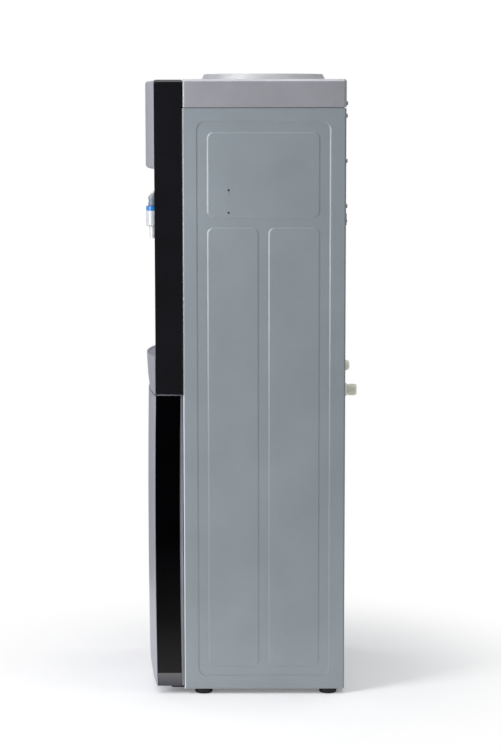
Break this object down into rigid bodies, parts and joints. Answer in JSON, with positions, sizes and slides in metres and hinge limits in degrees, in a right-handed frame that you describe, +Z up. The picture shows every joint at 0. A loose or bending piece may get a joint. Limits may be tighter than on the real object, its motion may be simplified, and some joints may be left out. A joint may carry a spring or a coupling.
{
  "type": "floor-standing water cooler",
  "caption": "Floor-standing bottle water cooler with push taps over a drip tray, a storage cabinet behind a hinged bowed door, pressed steel sides and a bottle seat on top.",
  "frame": {"origin": "floor level under the middle of the whole object's box", "axes": "+Z up, front (taps and door) faces -Y, +X is the door's hinge side"},
  "size_m": [0.31, 0.3542, 1.023],
  "materials": {
    "silver_plastic": "metallic silver paint-like gloss on moulded ABS",
    "cover_plastic": "satin metallic grey moulded ABS",
    "grey_enamel": "semi-gloss grey powder coat on pressed steel",
    "satin_ring": "satin turned metal-look ring",
    "black_gloss": "high-gloss black moulded ABS",
    "black_plastic": "fine-grained black moulded plastic",
    "grey_plastic": "satin grey moulded plastic",
    "white_plastic": "smooth white food-safe plastic",
    "clear_plastic": "milky translucent moulded plastic",
    "blue_plastic": "glossy blue moulded plastic",
    "red_plastic": "glossy red moulded plastic",
    "cream_plastic": "natural cream polypropylene",
    "zinc_steel": "zinc-plated sheet steel",
    "stainless": "drawn stainless steel",
    "aluminium": "extruded aluminium",
    "foam": "moulded white foam",
    "soft_rubber": "soft grey door gasket",
    "silicone": "translucent silicone tube"
  },
  "bodies": {
    "body": {"side_panel_right": "grey_enamel", "side_panel_left": "grey_enamel", "base_pan": "zinc_steel", "back_panel": "grey_enamel", "top_cover": "cover_plastic", "bottle_collar": "satin_ring", "bottle_receiver": "white_plastic", "cheek_right": "black_gloss", "cheek_left": "black_gloss", "fascia_panel": "silver_plastic", "indicator_lens": "clear_plastic", "niche_shell": "black_plastic", "tray_housing": "silver_plastic", "cold_tap_body": "white_plastic", "cold_tap_ring": "blue_plastic", "cold_tap_spout": "clear_plastic", "cold_tap_nut": "white_plastic", "hot_tap_body": "white_plastic", "hot_tap_ring": "red_plastic", "hot_tap_spout": "clear_plastic", "hot_tap_nut": "white_plastic", "hinge_bottom": "black_plastic", "hinge_top": "black_plastic", "cabinet_liner": "white_plastic", "magnet_catch": "black_plastic", "tank_deck": "zinc_steel", "cold_deck": "zinc_steel", "cold_tank": "stainless", "tank_insulation": "foam", "cooling_module": "white_plastic", "heat_sink": "aluminium", "fan_frame": "black_plastic", "hot_tank": "stainless", "hot_tank_heater": "zinc_steel", "power_box": "black_plastic", "cold_tube": "silicone", "hot_tube": "silicone", "drain_tube": "silicone", "lower_drain_fitting": "cream_plastic", "switch_housing": "black_plastic", "cord_gland": "black_plastic"},
    "door": {"door_front": "silver_plastic", "door_trim_right": "black_gloss", "door_trim_left": "black_gloss", "door_liner": "grey_plastic", "door_seal": "soft_rubber"},
    "cold_button": {"cold_tap_button": "grey_plastic"},
    "hot_button": {"hot_tap_button": "grey_plastic"},
    "hot_lock": {"hot_tap_lock": "red_plastic"},
    "drip_tray": {"drip_tray": "grey_plastic"},
    "drip_grille": {"drip_grille": "silver_plastic"},
    "fan_rotor": {"fan_rotor": "black_plastic"},
    "hot_switch": {"hot_switch": "red_plastic"},
    "cold_switch": {"cold_switch": "blue_plastic"},
    "drain_cap": {"lower_drain_cap": "cream_plastic"},
    "drain_plug": {"upper_drain_plug": "cream_plastic"},
    "foot_front_left": {"foot_front_left": "black_plastic"},
    "foot_front_right": {"foot_front_right": "black_plastic"},
    "foot_rear_left": {"foot_rear_left": "black_plastic"},
    "foot_rear_right": {"foot_rear_right": "black_plastic"}
  },
  "joints": [
    {"name": "door_swing", "type": "hinge", "parent": "body", "child": "door", "pos_m": [0.1455, -0.12915, 0.25], "axis": [0, 0, 1], "range_deg": [0, 110]},
    {"name": "cold_press", "type": "slide", "parent": "body", "child": "cold_button", "axis": [0, 0, -1], "range_m": [0, 0.005], "stiffness_N_per_m": 2000, "springref_m": -0.002},
    {"name": "hot_press", "type": "slide", "parent": "body", "child": "hot_button", "axis": [0, 0, -1], "range_m": [0, 0.005], "stiffness_N_per_m": 2000, "springref_m": -0.002},
    {"name": "hot_lock_turn", "type": "hinge", "parent": "hot_button", "child": "hot_lock", "pos_m": [-0.05, -0.16365, 0.8145], "axis": [0, 0, 1], "range_deg": [0, 45]},
    {"name": "tray_lift", "type": "slide", "parent": "body", "child": "drip_tray", "axis": [0, 0, 1], "range_m": [0, 0.045]},
    {"name": "grille_lift", "type": "slide", "parent": "drip_tray", "child": "drip_grille", "axis": [0, 0, 1], "range_m": [0, 0.03]},
    {"name": "fan_spin", "type": "hinge", "parent": "body", "child": "fan_rotor", "pos_m": [0, 0.138, 0.845], "axis": [0, 1, 0], "continuous": true},
    {"name": "hot_switch_rock", "type": "hinge", "parent": "body", "child": "hot_switch", "pos_m": [0.1, 0.15175, 0.7875], "axis": [1, 0, 0], "range_deg": [-18, 0]},
    {"name": "cold_switch_rock", "type": "hinge", "parent": "body", "child": "cold_switch", "pos_m": [0.124, 0.15175, 0.7875], "axis": [1, 0, 0], "range_deg": [-18, 0]},
    {"name": "drain_cap_turn", "type": "hinge", "parent": "body", "child": "drain_cap", "pos_m": [0.05, 0.17, 0.4966], "axis": [0, 1, 0], "continuous": true},
    {"name": "drain_plug_pull", "type": "slide", "parent": "body", "child": "drain_plug", "axis": [0, 1, 0], "range_m": [0, 0.012]},
    {"name": "foot_front_left_turn", "type": "hinge", "parent": "body", "child": "foot_front_left", "pos_m": [-0.14, -0.07965, 0.01], "axis": [0, 0, 1], "continuous": true},
    {"name": "foot_rear_left_turn", "type": "hinge", "parent": "body", "child": "foot_rear_left", "pos_m": [-0.14, 0.12735, 0.01], "axis": [0, 0, 1], "continuous": true},
    {"name": "foot_front_right_turn", "type": "hinge", "parent": "body", "child": "foot_front_right", "pos_m": [0.14, -0.07965, 0.01], "axis": [0, 0, 1], "continuous": true},
    {"name": "foot_rear_right_turn", "type": "hinge", "parent": "body", "child": "foot_rear_right", "pos_m": [0.14, 0.12735, 0.01], "axis": [0, 0, 1], "continuous": true}
  ]
}
